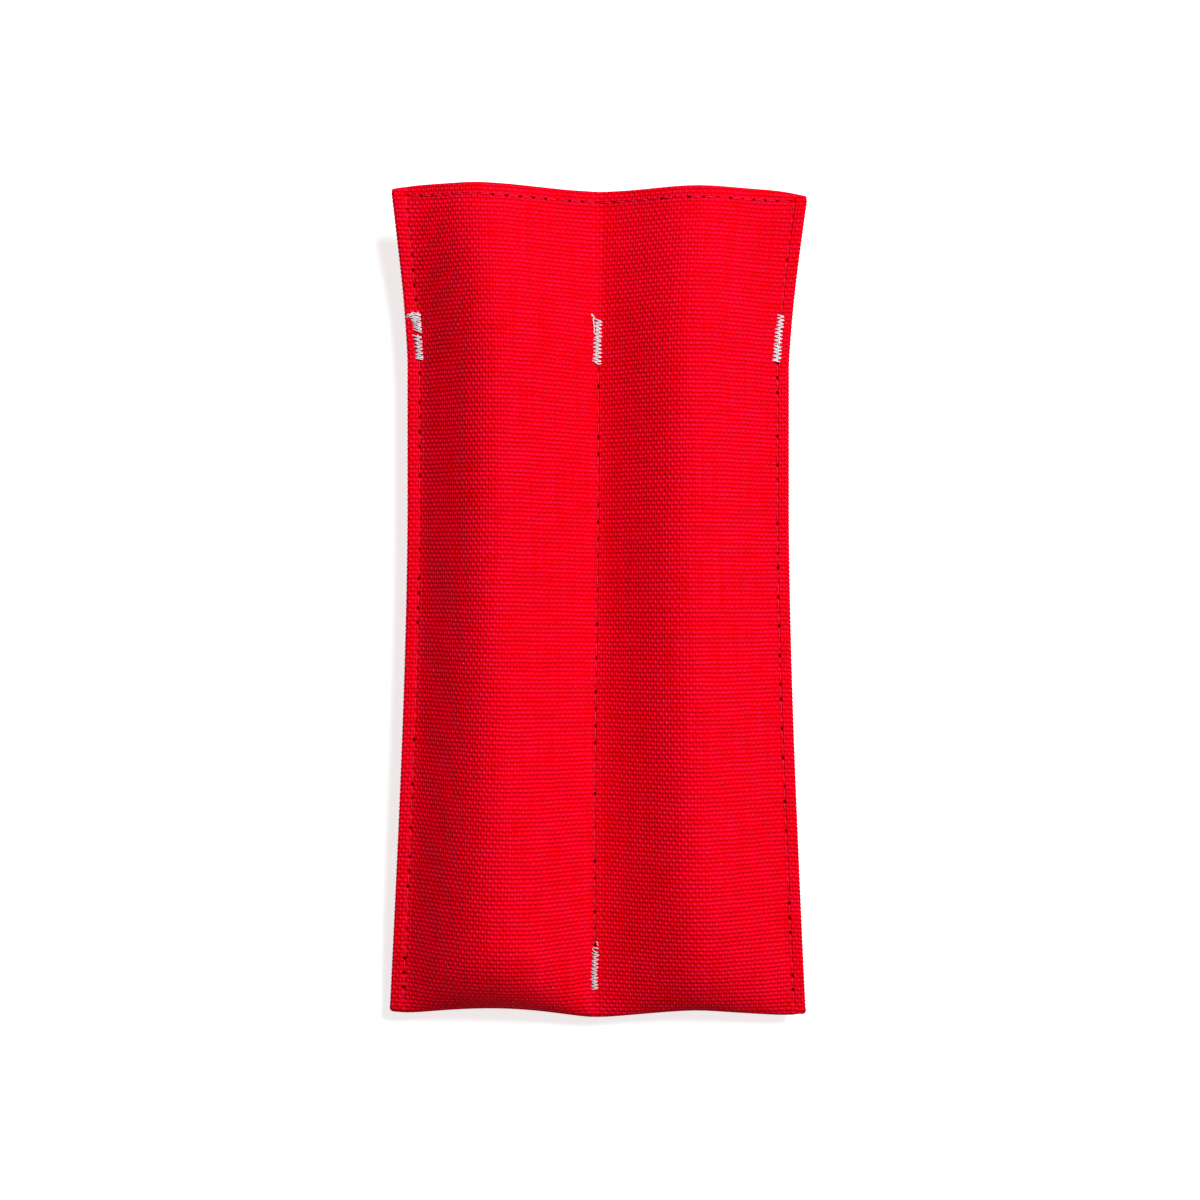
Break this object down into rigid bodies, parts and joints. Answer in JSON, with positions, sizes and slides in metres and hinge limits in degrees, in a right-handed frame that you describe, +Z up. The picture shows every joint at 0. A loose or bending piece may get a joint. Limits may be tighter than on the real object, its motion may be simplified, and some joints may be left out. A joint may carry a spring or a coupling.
{
  "type": "pen case",
  "caption": "Sewn cloth pen case with side-by-side sleeves, folded at the bottom and open at the mouth under a taller back panel, its seams locked by bartacks.",
  "frame": {"origin": "on the surface that the case lies on, under the middle of its outline", "axes": "+Y along the sleeves from the folded bottom to the mouth and the top edge, +X across the sleeves, +Z up out of the back panel, with the pocket side down"},
  "size_m": [0.083, 0.1642, 0.021],
  "materials": {
    "outer_cloth": "heavy plain-weave cloth, matt, bright red",
    "lining_cloth": "thin plain-weave lining, matt, darker red",
    "seam_thread": "red sewing thread, slight sheen",
    "bartack_thread": "off-white sewing thread, slight sheen"
  },
  "bodies": {
    "root": {"outer_cloth": "outer_cloth", "lining_cloth": "lining_cloth", "top_edge_needle_thread": "seam_thread", "top_edge_bobbin_thread": "seam_thread", "mouth_edge_needle_thread": "seam_thread", "mouth_edge_bobbin_thread": "seam_thread", "left_side_needle_thread": "seam_thread", "left_side_bobbin_thread": "seam_thread", "right_side_needle_thread": "seam_thread", "right_side_bobbin_thread": "seam_thread", "centre_needle_thread": "seam_thread", "centre_bobbin_thread": "seam_thread", "left_mouth_bartack_needle_side": "bartack_thread", "left_mouth_bartack_bobbin_side": "bartack_thread", "centre_mouth_bartack_needle_side": "bartack_thread", "centre_mouth_bartack_bobbin_side": "bartack_thread", "right_mouth_bartack_needle_side": "bartack_thread", "right_mouth_bartack_bobbin_side": "bartack_thread", "centre_fold_bartack_needle_side": "bartack_thread", "centre_fold_bartack_bobbin_side": "bartack_thread"}
  },
  "joints": []
}
